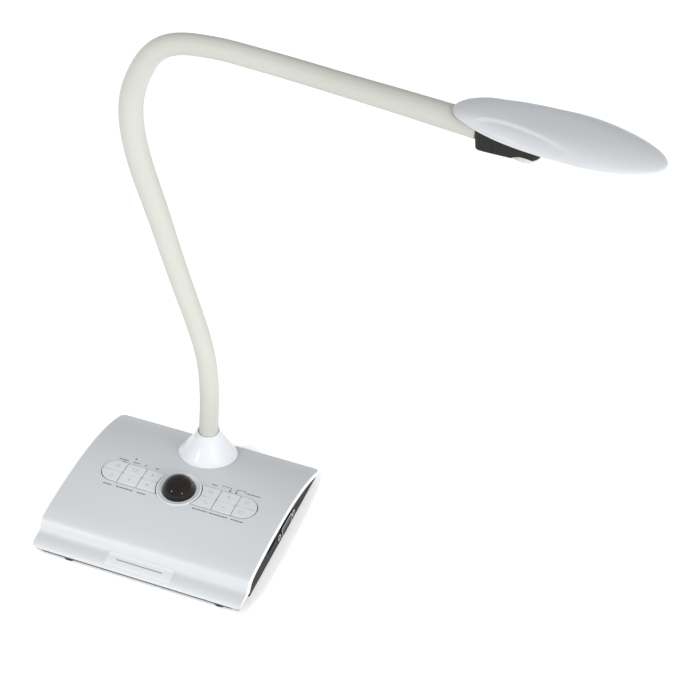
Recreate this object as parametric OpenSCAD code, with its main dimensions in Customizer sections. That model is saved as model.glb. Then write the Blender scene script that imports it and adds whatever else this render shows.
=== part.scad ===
// Desktop document camera: a low arched base with a keypad and side sockets,
// a flexible neck and a leaf-shaped camera head.
// X runs across the base, +Y towards its back, Z up. The table is at z = 0.

/* [Base] */
// Width of the base
base_w = 161; // [150:1:175]
// Wall of the top shell
shell_t = 2.4; // [1.8:0.1:2.8]
// Height of the rubber feet under the tray
foot_h = 4; // [3:0.5:6]
// Radius of a foot
foot_r = 5.75; // [4:0.25:7]
// Thickness of the steel ballast plate
ballast_t = 5; // [3:0.5:5.5]

/* [Keypad] */
// Distance of the keypad centre behind the base centre
pad_y = 4.3; // [2:0.1:6]
// Half length of the row of keys
pad_half = 59.7; // [56:0.1:62]
// Half height of the row of keys
pad_r = 9.75; // [9:0.05:10.5]
// Gap between a key and its opening
key_gap = 0.35; // [0.3:0.05:0.5]
// Height of a key over the shell
key_rise = 0.7; // [0.4:0.1:1]
// Radius of the bezel round the dome
ring_r = 16.4; // [15:0.1:17]
// Radius of the dome
dome_r = 11.9; // [10:0.1:12]
// Height of the dome
dome_h = 11; // [5:0.5:11.5]

/* [Neck] */
// Radius of the neck sleeve
neck_r = 7; // [6:0.25:8]
// Radius of the steel gooseneck core
core_r = 4.2; // [3:0.1:5]
// Distance of the neck behind the base centre
arm_y = 51.5; // [48:0.5:54]
// Radius of the collar's foot
collar_r = 21.5; // [18:0.5:21.5]
// Height of the collar's upper edge over the table
collar_top = 38.5; // [34:0.5:42]

/* [Head] */
// Half length of the head shell
head_a = 64; // [56:1:70]
// Half width of the head shell
head_b = 24.2; // [22:0.1:32]
// Height of the head shell's dome
head_h = 8.9; // [8:0.1:14]
// Downward slope of the head in degrees
head_tilt = 3.5; // [0:0.5:12]
// Half width of the camera housing
cam_hw = 9.5; // [9:0.25:12]
// Outer radius of the focus ring
focus_r = 8.6; // [8.2:0.1:8.8]

/* [Hidden] */
$fn = 48;

silver = [0.80, 0.82, 0.83];
white = [0.94, 0.94, 0.95];
warm = [0.86, 0.86, 0.83];
charcoal = [0.25, 0.25, 0.25];
steel = [0.62, 0.63, 0.65];

// ---- profile of the top shell, front lip to back edge, as [y, z]
lip_pts = [[-68.4, 5.7], [-69.6, 6.4], [-70, 7.6], [-69, 9], [-66.5, 10.2], [-63, 10.9], [-60, 11.2], [-57.8, 12],
  [-56, 14.2], [-54.2, 16.8], [-51.5, 18.9], [-44, 20.4], [-34, 21.3], [-20, 22.1], [-5, 22.4], [10, 22],
  [25, 20.6], [40, 17.8], [52, 14.6], [62, 11], [70, 7.2], [73, 5.8]];

function cr(a, b, c, d, t) = 0.5 * (2 * b + (c - a) * t + (2 * a - 5 * b + 4 * c - d) * t * t + (3 * b - a - 3 * c + d) * t * t * t);
function smooth(p, n) = [for (i = [0:len(p) - 2]) for (j = [0:n - 1])
  cr(p[max(i - 1, 0)], p[i], p[i + 1], p[min(i + 2, len(p) - 1)], j / n), p[len(p) - 1]];
function unit(v) = v / norm(v);
function dirv(p, i) = unit(p[min(i + 1, len(p) - 1)] - p[max(i - 1, 0)]);
function inset(p, t) = [for (i = [0:len(p) - 1]) p[i] + t * [dirv(p, i)[1], -dirv(p, i)[0]]];
function rev(p) = [for (i = [len(p) - 1:-1:0]) p[i]];

top = smooth(lip_pts, 3);
arch = [for (p = top) if (p[0] > -60) p];
// inner face of the front lip, then of the arch down to the tray
under = concat(smooth([[-66.2, 5.7], [-66.4, 7.2], [-64.6, 8.3], [-61, 8.8], [-57.6, 9.3], [-55.2, 11], [-53, 14.2], [-50, 16.4], [-46, 17.6]], 2),
  [for (p = inset(top, shell_t)) if (p[0] > -43 && p[1] > 5.75) p]);
function surf(y) = lookup(y, arch);
tray_z = foot_h;
tray_t = 1.6;
base_front = -70;
base_back = 73;

// the row's origin is under the centre of the object's box
head_right = 178 + (62 + head_a) * cos(head_tilt) + 8 * sin(head_tilt);
ox = (head_right - base_w / 2) / 2;
oy = (arm_y + head_b + base_front) / 2;
module place() translate([-ox, -oy, 0]) children();

// a slice of the region between the profile shifted by lo and by hi, from x0 to x1
module band(lo, hi, x0, x1) {
  translate([x0, 0, 0]) rotate([90, 0, 90]) linear_extrude(x1 - x0)
    polygon(concat([for (p = arch) [p[0], p[1] + hi]], rev([for (p = arch) [p[0], p[1] + lo]])));
}

// ---- base
module stadium(half, r) {
  square([2 * (half - r), 2 * r], center = true);
  for (s = [-1, 1]) translate([s * (half - r), 0]) circle(r);
}
screw_at = [[-66, -46], [66, -46], [-66, 40], [66, 40]];
leds_at = [[-41.7, 21], [34.5, 16.2], [39.2, 16.2]];

module base_top_shell() place() color(silver) difference() {
  union() {
    rotate([90, 0, 90]) translate([0, 0, -base_w / 2]) linear_extrude(base_w)
      polygon(concat(top, rev(under)));
    for (s = screw_at) translate([s[0], s[1], tray_z + tray_t + 0.1])
      cylinder(r = 3, h = surf(s[1]) - shell_t / 2 - tray_z - tray_t - 0.1);
  }
  translate([0, pad_y, 10]) linear_extrude(30) stadium(pad_half + key_gap, pad_r + key_gap);
  translate([0, pad_y, 10]) cylinder(r = ring_r + 0.15, h = 30);
  translate([1.6, arm_y, 0]) cylinder(r = 10, h = 30);
  for (s = screw_at) translate([s[0], s[1], 0]) cylinder(r = 1.25, h = 13, $fn = 24);
  for (l = leds_at) translate([l[0], l[1], 10]) cylinder(r = 0.8, h = 30, $fn = 24);
  // rounded lower corners of the front lip
  for (s = [0, 1]) mirror([s, 0, 0]) difference() {
    translate([base_w / 2 - 4.5, -75, 0]) cube([10, 17, 10.2]);
    translate([base_w / 2 - 4.5, -80, 10.2]) rotate([-90, 0, 0]) cylinder(r = 4.5, h = 30);
  }
}

module wall_region() {
  p = inset(top, shell_t + 0.25);
  q = [for (v = p) if (v[0] > -62 && v[0] < 66 && v[1] > tray_z + 0.5) v];
  polygon(concat([[q[0][0], tray_z]], q, [[q[len(q) - 1][0], tray_z]]));
}
wall_x = base_w / 2 - 3;
wall_t = 1.8;
vga_y = 9.5;
vga_z = 11.4;
usb_y = -15;
usb_z = 16.1;
dc_y = 5;
dc_z = 11.8;
feet_at = [[-53, -62], [62, -62], [-53, 60], [62, 60]];

module base_tray() place() color(charcoal) difference() {
  union() {
    translate([-wall_x, -68.2, tray_z]) cube([2 * wall_x, 139, tray_t]);
    for (s = [-1, 1]) translate([s < 0 ? -wall_x : wall_x - wall_t, 0, 0]) rotate([90, 0, 90]) linear_extrude(wall_t) wall_region();
  }
  for (s = screw_at) translate([s[0], s[1], 0]) { cylinder(r = 1.6, h = 10, $fn = 24); cylinder(r = 3.2, h = tray_z + 0.8, $fn = 24); }
  // video socket, its two nuts, data socket and power inlet
  translate([wall_x - 5, vga_y - 10.2, vga_z - 4.7]) cube([10, 20.4, 9.4]);
  for (s = [-1, 1]) translate([wall_x - 5, vga_y + s * 12.5, vga_z]) rotate([0, 90, 0]) cylinder(r = 3.1, h = 10);
  translate([wall_x - 5, usb_y - 7, usb_z - 3.1]) cube([10, 14, 6.2]);
  translate([-wall_x - 5, dc_y, dc_z]) rotate([0, 90, 0]) cylinder(r = 4.1, h = 10);
}

module ballast_plate() place() color(steel) difference() {
  translate([-62, -52, tray_z + tray_t + 0.05]) cube([124, 88, ballast_t]);
  for (s = screw_at) translate([s[0], s[1], 0]) cylinder(r = 6.5, h = 30);
}

board_z = tray_z + tray_t + ballast_t + 1;
module main_board() place() color([0.1, 0.35, 0.2]) {
  difference() {
    translate([-60, -34, board_z]) cube([125, 68, 1.6]);
    for (x = [-56, 56]) for (y = [-30, 30]) translate([x, y, 0]) cylinder(r = 1.6, h = 30, $fn = 24);
  }
  translate([-10, -31, board_z + 1.6]) cube([20, 16, 1.6]);
  translate([18, -30, board_z + 1.6]) cube([12, 12, 1.6]);
  for (x = [-40, -30]) translate([x, -26, board_z + 1.6]) cylinder(r = 3, h = 4);
}

key_x = [[0, 29.2], [29.2, 44.3], [44.3, 80]];
switch_x = [22.4, 36.7, 50.6];
module key_switches() place() color([0.15, 0.15, 0.16])
  for (s = [-1, 1]) for (x = switch_x) for (t = [-1, 1]) translate([s * x, pad_y + t * 6.2, board_z + 1.6]) {
    translate([-2.6, -2.6, 0]) cube([5.2, 5.2, 3.6]);
    translate([0, 0, 3.6]) cylinder(r = 1.6, h = surf(pad_y + t * 6.2) - 2.05 - 0.35 - board_z - 1.6 - 3.6, $fn = 24);
  }

rod_z = 17;
rib_x = [18.2, 29.2, 44.3, 56];
module keypad_frame() place() color([0.3, 0.3, 0.32]) difference() {
  union() {
    translate([-63, pad_y - 13.5, 15.6]) cube([126, 2.4, 3]);
    translate([-63, pad_y + 11.1, 15.6]) cube([126, 2.4, 3]);
    for (s = [-1, 1]) translate([s * 61.8 - 1.2, pad_y - 13.5, 15.6]) cube([2.4, 27, 3]);
    for (s = [-1, 1]) for (x = rib_x) translate([s * x - 0.9, pad_y - 12, 15.6]) cube([1.8, 24, 2.8]);
  }
  for (s = [-1, 1]) translate([s * 17, pad_y, rod_z]) rotate([0, s * 90, 0]) cylinder(r = 0.75, h = 48, $fn = 32);
}
module key_pivot_rods() place() color(steel)
  for (s = [-1, 1]) translate([s * 18, pad_y, rod_z]) rotate([0, s * 90, 0]) cylinder(r = 0.75, h = 39, $fn = 32);

module dome_ring() place() color(silver) translate([0, pad_y, 0]) difference() {
  union() {
    translate([0, 0, 18.6]) cylinder(r = ring_r, h = 4.2);
    translate([0, 0, 22.8]) cylinder(r1 = ring_r, r2 = ring_r - 1.2, h = 0.8);
  }
  translate([0, 0, 10]) cylinder(r = dome_r - 1.4, h = 20);
  translate([0, 0, 20]) cylinder(r = dome_r + 0.1, h = 20);
}
module ir_dome() place() color([0.1, 0.05, 0.05]) translate([0, pad_y, 0]) {
  rr = (dome_r * dome_r + dome_h * dome_h) / (2 * dome_h);
  difference() {
    union() {
      translate([0, 0, 20.02]) cylinder(r = dome_r, h = 2.2);
      intersection() {
        translate([0, 0, 22.2]) cylinder(r = dome_r, h = 20);
        translate([0, 0, 22.2 + dome_h - rr]) sphere(r = rr, $fn = 96);
      }
    }
    translate([0, 0, 19]) cylinder(r = dome_r - 2.5, h = 3);
  }
}
module ir_receiver() place() color([0.05, 0.05, 0.06]) translate([-3.5, pad_y - 3, board_z + 1.6]) cube([7, 6, 5.4]);
module status_leds() place() color([0.2, 0.55, 0.25])
  for (l = leds_at) translate([l[0], l[1], surf(l[1]) - 2.3]) cylinder(r = 0.75, h = 2.4, $fn = 24);

badge_w = 50;
module name_badge() place() color(white) {
  b = [for (p = top) if (p[0] > -68.2 && p[0] < -57.4 && p[1] > 8 && p[1] < 14) p];
  translate([-badge_w / 2 + 0.5, 0, 0]) rotate([90, 0, 90]) linear_extrude(badge_w)
    polygon(concat([for (p = b) p + [0, 0.4]], rev([for (p = b) p + [0, 0.03]])));
}

// ---- sockets
module dshape(w, h) polygon([[-w / 2 + 0.8, h / 2], [w / 2 - 0.8, h / 2], [w / 2, h / 2 - 0.8], [w / 2 - 1.2, -h / 2 + 0.8], [w / 2 - 2, -h / 2],
  [-w / 2 + 2, -h / 2], [-w / 2 + 1.2, -h / 2 + 0.8], [-w / 2, h / 2 - 0.8]]);
vga_in = wall_x - wall_t - 0.05;
module vga_socket() place() translate([0, vga_y, vga_z]) rotate([90, 0, 90]) {
  color(steel) translate([0, 0, vga_in - 0.8]) linear_extrude(0.8) difference() {
    square([30.8, 11.4], center = true);
    for (s = [-1, 1]) translate([s * 12.5, 0]) circle(1.6);
  }
  color(steel) translate([0, 0, vga_in]) linear_extrude(5.2) difference() { dshape(17.6, 8.8); dshape(16.6, 7.8); }
  color([0.12, 0.14, 0.3]) difference() {
    translate([0, 0, vga_in]) linear_extrude(4.6) dshape(16.6, 7.8);
    for (r = [-1, 0, 1]) for (i = [-2:2]) translate([i * 2.29 + (r == 0 ? 0 : 0.5), r * 1.98, vga_in + 1.5])
      cylinder(r = 0.5, h = 5, $fn = 16);
  }
  color([0.1, 0.1, 0.1]) translate([0, 0, vga_in - 9]) linear_extrude(8.2) square([22, 10.5], center = true);
}
module vga_jackscrews() place() color(steel) for (s = [-1, 1]) translate([0, vga_y + s * 12.5, vga_z]) rotate([0, 90, 0]) difference() {
  union() {
    translate([0, 0, vga_in]) cylinder(r = 2.7, h = 4.8, $fn = 6);
    translate([0, 0, vga_in - 4]) cylinder(r = 1.55, h = 4.2);
  }
  translate([0, 0, vga_in - 1]) cylinder(r = 1.42, h = 8);
}
module usb_socket() place() translate([0, usb_y, usb_z]) rotate([90, 0, 90]) {
  color(steel) translate([0, 0, wall_x - 14]) difference() {
    translate([-6.6, -2.85, 0]) cube([13.2, 5.7, 13.8]);
    translate([-6.2, -2.45, 1]) cube([12.4, 4.9, 14]);
  }
  color([0.9, 0.9, 0.9]) translate([-5.6, 0.1, wall_x - 13]) cube([11.2, 1.8, 11.5]);
}
module dc_jack() place() translate([-wall_x, dc_y, dc_z]) rotate([0, 90, 0]) color([0.08, 0.08, 0.08]) {
  difference() {
    union() {
      cylinder(r = 4, h = 2);
      translate([-5.4, -4.5, wall_t + 0.05]) cube([10.8, 9, 12]);
    }
    translate([0, 0, -1]) cylinder(r = 2.85, h = 11);
  }
  cylinder(r = 1, h = 10.2);
}

module rubber_feet() place() color([0.12, 0.12, 0.12]) for (f = feet_at) translate([f[0], f[1], 0]) {
  cylinder(r1 = foot_r - 0.6, r2 = foot_r, h = 0.8);
  translate([0, 0, 0.8]) cylinder(r = foot_r, h = foot_h - 0.82);
}
module screw(l) { cylinder(r = 2.6, h = 1.4, $fn = 32); translate([0, 0, 1.4]) cylinder(r = 1.24, h = l, $fn = 24); }
module tray_screws() place() color(steel) for (s = screw_at) translate([s[0], s[1], tray_z + 0.77 - 1.42])
  difference() { screw(6.5); translate([-2, -0.3, -1]) cube([4, 0.6, 1.6]); translate([-0.3, -2, -1]) cube([0.6, 4, 1.6]); }

// ---- neck: joint centres in the neck's own plane, as [x, z]
J = [[1.2, 14], [3, 48], [4.5, 110], [-14, 190], [-33, 270], [-34.5, 318], [-26, 343], [-8, 361], [20, 369.5], [75, 368], [127, 363.5], [178, 358.5]];
cup = 0.7;
function ang(k) = atan2(J[k + 1][0] - J[k][0], J[k + 1][1] - J[k][1]);
function len_k(k) = norm(J[k + 1] - J[k]);
module at_joint(k) place() translate([J[k][0], arm_y, J[k][1]]) rotate([0, ang(k), 0]) children();

// a round bar from a joint ball to the cup of the next joint
module bar(r, l) difference() {
  union() { sphere(r); cylinder(r = r, h = l); }
  translate([0, 0, l]) sphere(neck_r + cup);
}
module core(k) at_joint(k) color(steel) bar(core_r, len_k(k));
module sleeve(k) at_joint(k) color(warm) difference() {
  bar(neck_r, len_k(k));
  sphere(core_r);
  cylinder(r = core_r, h = 200);
}
module neck_core_1() core(1);
module neck_core_2() core(2);
module neck_core_3() core(3);
module neck_core_4() core(4);
module neck_core_5() core(5);
module neck_core_6() core(6);
module neck_core_7() core(7);
module neck_core_8() core(8);
module neck_core_9() core(9);
module neck_core_10() core(10);
module neck_sleeve_1() sleeve(1);
module neck_sleeve_2() sleeve(2);
module neck_sleeve_3() sleeve(3);
module neck_sleeve_4() sleeve(4);
module neck_sleeve_5() sleeve(5);
module neck_sleeve_6() sleeve(6);
module neck_sleeve_7() sleeve(7);
module neck_sleeve_8() sleeve(8);
module neck_sleeve_9() sleeve(9);
module neck_sleeve_10() sleeve(10);

// lower end of the sleeve, inside the collar and just above it
module neck_sleeve_0() at_joint(0) color(warm) difference() {
  translate([0, 0, 3]) cylinder(r = neck_r, h = len_k(0) - 3);
  cylinder(r = core_r, h = 60);
  translate([0, 0, len_k(0)]) sphere(neck_r + cup);
}
module neck_anchor() place() color(steel) {
  difference() {
    union() {
      translate([1.2, arm_y, tray_z + tray_t + 0.05]) cylinder(r = 11.8, h = 1.8);
      translate([1.2, arm_y, tray_z + tray_t + 1]) cylinder(r = 6.3, h = 6.8);
      translate([J[0][0], arm_y, J[0][1]]) rotate([0, ang(0), 0]) translate([0, 0, -4]) cylinder(r = core_r, h = len_k(0) + 4);
    }
    for (a = [30, 150, 270]) translate([1.2 + 9.3 * cos(a), arm_y + 9.3 * sin(a), 0]) cylinder(r = 1.6, h = 12, $fn = 24);
    translate([J[1][0], arm_y, J[1][1]]) sphere(neck_r + cup);
  }
}
module anchor_screws() place() color(steel) for (a = [30, 150, 270]) translate([1.2 + 9.3 * cos(a), arm_y + 9.3 * sin(a), 0]) {
  translate([0, 0, tray_z + tray_t + 0.1]) cylinder(r = 1.55, h = 1.8, $fn = 24);
  translate([0, 0, tray_z + tray_t + 1.88]) cylinder(r = 2.4, h = 1.5, $fn = 24);
}

// collar: a trumpet flare whose foot follows the arched shell
flare = [[1, 0.9], [0.955, 2.4], [0.87, 5], [0.75, 9], [0.63, 13], [0.52, 17], [0.43, 21], [0.385, collar_top - 14.6]];
flare_s = smooth(flare, 2);
cn = 48;
function cpt(r, h, w, i) = let (x = r * cos(i * 360 / cn), y = arm_y + r * sin(i * 360 / cn))
  [1.2 + 0.053 * h + x, y, 14.6 + h + (surf(min(y, 72.5)) - 14.6) * w];
nf = len(flare_s);
module neck_collar() place() color(white) {
  rings = concat(
    [for (k = [0:nf - 1]) [collar_r * flare_s[k][0], flare_s[k][1], pow(1 - k / (nf - 1), 1.4)]],
    [[neck_r + 0.25, collar_top - 14.6, 0], [neck_r + 0.25, 8, 0.3], [neck_r + 0.25, 0.15, 1], [11, 0.15, 1], [14, 0.15, 1], [17.5, 0.15, 1], [collar_r - 0.4, 0.12, 1]]);
  pts = [for (r = rings) for (i = [0:cn - 1]) cpt(r[0], r[1], r[2], i)];
  m = len(rings);
  polyhedron(pts, [for (k = [0:m - 1]) for (i = [0:cn - 1]) for (f = [0, 1])
    let (a = k * cn + i, b = k * cn + (i + 1) % cn, c = ((k + 1) % m) * cn + (i + 1) % cn, d = ((k + 1) % m) * cn + i)
    f == 0 ? [a, c, b] : [a, d, c]], convexity = 4);
}

// ---- head, in its own frame: x out along the neck, z up
module head_at() place() translate([J[11][0], arm_y, J[11][1]]) rotate([0, head_tilt, 0]) children();
rim_z = 8;
hc = 62;
hn = 56;
ht = 10;
function dome_p(a) = 2.9 - 0.9 * cos(a);
function dome_pt(a, t, da, dh) = [hc + (head_a - da) * t * cos(a), (head_b - da) * t * sin(a),
  rim_z + (head_h - dh) * pow(max(0, 1 - pow(t, dome_p(a))), 0.62)];
module head_top_shell() head_at() color(silver) {
  ts = [for (k = [0:ht]) sin(90 * k / ht)];
  outer = [for (k = [1:ht]) for (i = [0:hn - 1]) dome_pt(i * 360 / hn, ts[k], 0, 0)];
  inner = [for (k = [1:ht]) for (i = [0:hn - 1]) dome_pt(i * 360 / hn, ts[k], 1.8, 1.8)];
  pts = concat([[hc, 0, rim_z + head_h]], outer, [[hc, 0, rim_z + head_h - 1.8]], inner);
  o1 = 1;
  i0 = 1 + ht * hn;
  i1 = i0 + 1;
  polyhedron(pts, concat(
    [for (i = [0:hn - 1]) [0, o1 + (i + 1) % hn, o1 + i]],
    [for (k = [0:ht - 2]) for (i = [0:hn - 1]) for (f = [0, 1])
      let (a = o1 + k * hn + i, b = o1 + k * hn + (i + 1) % hn, c = b + hn, d = a + hn) f == 0 ? [a, b, c] : [a, c, d]],
    [for (i = [0:hn - 1]) for (f = [0, 1]) let (a = o1 + (ht - 1) * hn + i, b = o1 + (ht - 1) * hn + (i + 1) % hn,
      c = i1 + (ht - 1) * hn + (i + 1) % hn, d = i1 + (ht - 1) * hn + i) f == 0 ? [a, b, c] : [a, c, d]],
    [for (k = [0:ht - 2]) for (i = [0:hn - 1]) for (f = [0, 1])
      let (a = i1 + k * hn + i, b = i1 + k * hn + (i + 1) % hn, c = b + hn, d = a + hn) f == 0 ? [a, c, b] : [a, d, c]],
    [for (i = [0:hn - 1]) [i0, i1 + i, i1 + (i + 1) % hn]]), convexity = 6);
}
function leaf(a, b) = [for (i = [0:71]) [hc + a * cos(i * 5), b * sin(i * 5)]];
lamp_x = 92;
module lamp_window(g) translate([lamp_x, 0]) { square([24 + 2 * g, 17 + 2 * g], center = true);
  for (s = [-1, 1]) translate([s * 12, 0]) scale([1, 1]) circle(8.5 + g); }
module head_bottom_cover() head_at() color([0.88, 0.89, 0.9]) difference() {
  translate([0, 0, rim_z - 1.2]) linear_extrude(1.6) polygon(leaf(head_a - 2.4, head_b - 2.4));
  translate([0, 0, rim_z - 5]) linear_extrude(10) lamp_window(0.15);
  translate([24, -4, rim_z - 5]) cube([16, 8, 10]);
  // relief over the end of the neck
  translate([-5, 0, 0]) rotate([0, 90, 0]) cylinder(r = neck_r + 1.1, h = 24.8);
  for (p = cover_screws) translate([p[0], p[1], rim_z - 5]) cylinder(r = 1.1, h = 10, $fn = 24);
}
cover_screws = [[22.6, -6.2], [22.6, 6.2], [49, -4.6], [49, 4.6]];

house_top = rim_z - 1.22;
house_bot = -11;
nose_x = 44.5;
ring_x = 44.5;
back_x = 15.5;
module plan(w) { translate([back_x + cam_hw - w, -w]) square([nose_x - back_x - cam_hw + w, 2 * w]); translate([nose_x, 0]) circle(w); }
module camera_housing() head_at() color(charcoal) difference() {
  translate([0, 0, house_bot]) linear_extrude(house_top - house_bot) plan(cam_hw);
  difference() {
    translate([0, 0, house_bot + 1.6]) linear_extrude(30) plan(cam_hw - 1.6);
    // screw posts under the cover
    for (p = cover_screws) translate([p[0], p[1], 3.1]) cylinder(r = 2.1, h = 10, $fn = 32);
  }
  for (p = cover_screws) translate([p[0], p[1], 5]) cylinder(r = 1.06, h = 10, $fn = 24);
  // way in for the end of the neck, and the well of the focus ring with its two finger windows
  translate([back_x - 5, 0, 0]) rotate([0, 90, 0]) cylinder(r = neck_r, h = 8);
  translate([ring_x, 0, house_bot - 1]) cylinder(r = focus_r + 0.3, h = 7.3);
  translate([ring_x, 20, house_bot - 5]) rotate([90, 0, 0]) cylinder(r = 9, h = 40);
  // bevelled lower rear edge
  translate([back_x, -20, house_bot]) rotate([0, -45, 0]) translate([-3, 0, -3]) cube([4.4, 40, 6]);
}
module lens_barrel() head_at() color([0.08, 0.08, 0.08]) translate([ring_x, 0, 0]) difference() {
  union() {
    translate([0, 0, -10.4]) cylinder(r = 7, h = 12);
    translate([0, 0, -4.4]) cylinder(r = 7.5, h = 3);
  }
  translate([0, 0, -12]) cylinder(r1 = 6.6, r2 = 5, h = 3.6);
}
module lens_glass() head_at() color([0.3, 0.35, 0.45]) translate([ring_x, 0, -8.43]) intersection() {
  translate([0, 0, -1.6]) cylinder(r = 4.95, h = 1.6);
  translate([0, 0, 11]) sphere(12.2, $fn = 96);
}
module focus_ring() head_at() color([0.86, 0.86, 0.84]) translate([ring_x, 0, -11.2]) difference() {
  cylinder(r = focus_r, h = 6.4);
  translate([0, 0, -1]) cylinder(r = 7.06, h = 10);
  for (i = [0:35]) rotate([0, 0, i * 10]) translate([focus_r, 0, -1]) cylinder(r = 0.28, h = 10, $fn = 13);
}
module camera_board() head_at() color([0.1, 0.35, 0.2]) {
  translate([26.5, -6.4, 1.65]) cube([20, 12.8, 1.2]);
  translate([39.4, -3.5, 2.85]) cube([6.6, 7, 1.4]);
}
module lamp_board() head_at() color([0.92, 0.93, 0.9]) {
  translate([lamp_x - 19, -7, rim_z + 1.6]) cube([38, 14, 1]);
  for (i = [-2:2]) for (j = [-1, 1]) translate([lamp_x + i * 7, j * 3.6, rim_z + 0.9]) cylinder(r = 1.5, h = 0.72, $fn = 24);
}
module lamp_diffuser() head_at() color([0.97, 0.97, 0.94]) translate([0, 0, rim_z - 1.6]) linear_extrude(2.2) lamp_window(0);
module head_screws() head_at() color(steel) for (p = cover_screws) translate([p[0], p[1], rim_z + 0.42]) {
  cylinder(r = 2, h = 1.2, $fn = 24);
  translate([0, 0, -2.4]) cylinder(r = 1.05, h = 2.5, $fn = 24);
}
module neck_ferrule() head_at() color(steel) rotate([0, 90, 0]) {
  sphere(neck_r);
  cylinder(r = neck_r, h = back_x + 1.62);
  translate([0, 0, back_x + 1.62]) cylinder(r = neck_r + 0.8, h = 2);
}

// ---- rocker keys: each tips to its upper or lower half about the rod under its middle
module key(side, n) place() color([0.82, 0.84, 0.84]) {
  x0 = key_x[n][0] + (n == 0 ? 0 : 0.2);
  x1 = key_x[n][1] - 0.2;
  lo = side > 0 ? x0 : -x1;
  hi = side > 0 ? x1 : -x0;
  w0 = [ring_r + 4.3, 30.6, 45.7][n];
  w1 = [27.8, 42.9, 54.6][n];
  difference() {
    union() {
      intersection() {
        translate([0, pad_y, 10]) linear_extrude(20) difference() {
          stadium(pad_half, pad_r);
          circle(ring_r + 0.6);
        }
        translate([lo, -20, 10]) cube([hi - lo, 60, 20]);
        band(-2.05, key_rise, -70, 70);
      }
      translate([side > 0 ? w0 : -w1, pad_y - 1.5, rod_z - 1.4]) cube([w1 - w0, 3, 4.8]);
    }
    translate([side > 0 ? w0 - 1 : -w1 - 1, pad_y, rod_z]) rotate([0, 90, 0]) cylinder(r = 0.8, h = w1 - w0 + 2, $fn = 32);
    // shallow groove between the two halves
    translate([lo - 1, pad_y - 0.3, surf(pad_y) + key_rise - 0.35]) cube([hi - lo + 2, 0.6, 3]);
  }
}
module key_left_1() key(-1, 0);
module key_left_2() key(-1, 1);
module key_left_3() key(-1, 2);
module key_right_1() key(1, 0);
module key_right_2() key(1, 1);
module key_right_3() key(1, 2);

base_top_shell();
base_tray();
ballast_plate();
main_board();
key_switches();
keypad_frame();
key_pivot_rods();
vga_socket();
vga_jackscrews();
usb_socket();
dc_jack();
dome_ring();
ir_dome();
ir_receiver();
status_leds();
name_badge();
rubber_feet();
tray_screws();
neck_collar();
neck_anchor();
anchor_screws();
neck_sleeve_0();
neck_core_1();
neck_sleeve_1();
neck_core_2();
neck_sleeve_2();
neck_core_3();
neck_sleeve_3();
neck_core_4();
neck_sleeve_4();
neck_core_5();
neck_sleeve_5();
neck_core_6();
neck_sleeve_6();
neck_core_7();
neck_sleeve_7();
neck_core_8();
neck_sleeve_8();
neck_core_9();
neck_sleeve_9();
neck_core_10();
neck_sleeve_10();
neck_ferrule();
head_top_shell();
head_bottom_cover();
camera_housing();
lens_barrel();
lens_glass();
focus_ring();
camera_board();
lamp_board();
lamp_diffuser();
head_screws();
key_left_1();
key_left_2();
key_left_3();
key_right_1();
key_right_2();
key_right_3();
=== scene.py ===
import math

import bpy
import bmesh
import numpy as np
from mathutils import Matrix, Vector


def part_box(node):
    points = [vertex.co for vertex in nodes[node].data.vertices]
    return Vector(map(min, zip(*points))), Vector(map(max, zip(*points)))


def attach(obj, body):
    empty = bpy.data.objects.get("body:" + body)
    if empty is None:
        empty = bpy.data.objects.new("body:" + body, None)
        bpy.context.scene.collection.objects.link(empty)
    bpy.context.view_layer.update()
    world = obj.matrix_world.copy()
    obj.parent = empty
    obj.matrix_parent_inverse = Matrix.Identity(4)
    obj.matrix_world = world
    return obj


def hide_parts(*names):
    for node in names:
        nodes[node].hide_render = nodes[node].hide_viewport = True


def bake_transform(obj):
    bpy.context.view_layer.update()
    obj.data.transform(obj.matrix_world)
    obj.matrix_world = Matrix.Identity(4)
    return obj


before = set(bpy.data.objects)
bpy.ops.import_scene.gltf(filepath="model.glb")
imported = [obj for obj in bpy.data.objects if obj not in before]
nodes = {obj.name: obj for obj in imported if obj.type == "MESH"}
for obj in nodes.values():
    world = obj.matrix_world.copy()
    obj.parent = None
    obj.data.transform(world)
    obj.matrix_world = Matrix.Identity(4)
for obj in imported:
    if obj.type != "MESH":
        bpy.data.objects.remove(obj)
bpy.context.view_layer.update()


# Drawing coordinates: millimetres from the middle of the base, z up from the table.
lo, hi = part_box("base_top_shell")
OX = -(lo[0] + hi[0]) / 2 * 1000
OY = 1.5 - (lo[1] + hi[1]) / 2 * 1000


def M(p):
    p = np.asarray(p, float)
    q = np.empty(p.shape)
    q[..., 0] = (p[..., 0] - OX) / 1000
    q[..., 1] = (p[..., 1] - OY) / 1000
    q[..., 2] = p[..., 2] / 1000
    return q


# ------------------------------------------------------------------ camera and materials
scene = bpy.context.scene
cam_data = bpy.data.cameras.new("view_camera")
cam = bpy.data.objects.new("view_camera", cam_data)
scene.collection.objects.link(cam)
cam_data.sensor_width = 36
cam_data.lens = 96.99
cam_data.clip_end = 50
fwd = Vector((-0.26733, 0.68563, -0.67709)).normalized()
right = Vector((0.93169, 0.36326, 0)).normalized()
upv = right.cross(fwd).normalized()
rot = Matrix((right, upv, -fwd)).transposed().to_4x4()
cam.matrix_world = Matrix.Translation(Vector([float(c) for c in M([447.1, -807.71, 1002.17])])) @ rot
scene.camera = cam
scene.view_settings.view_transform = "Standard"


def node_tree(name):
    m = bpy.data.materials.new(name)
    m.use_nodes = True
    nt = m.node_tree
    bsdf = nt.nodes["Principled BSDF"]
    return m, nt, bsdf


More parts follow.
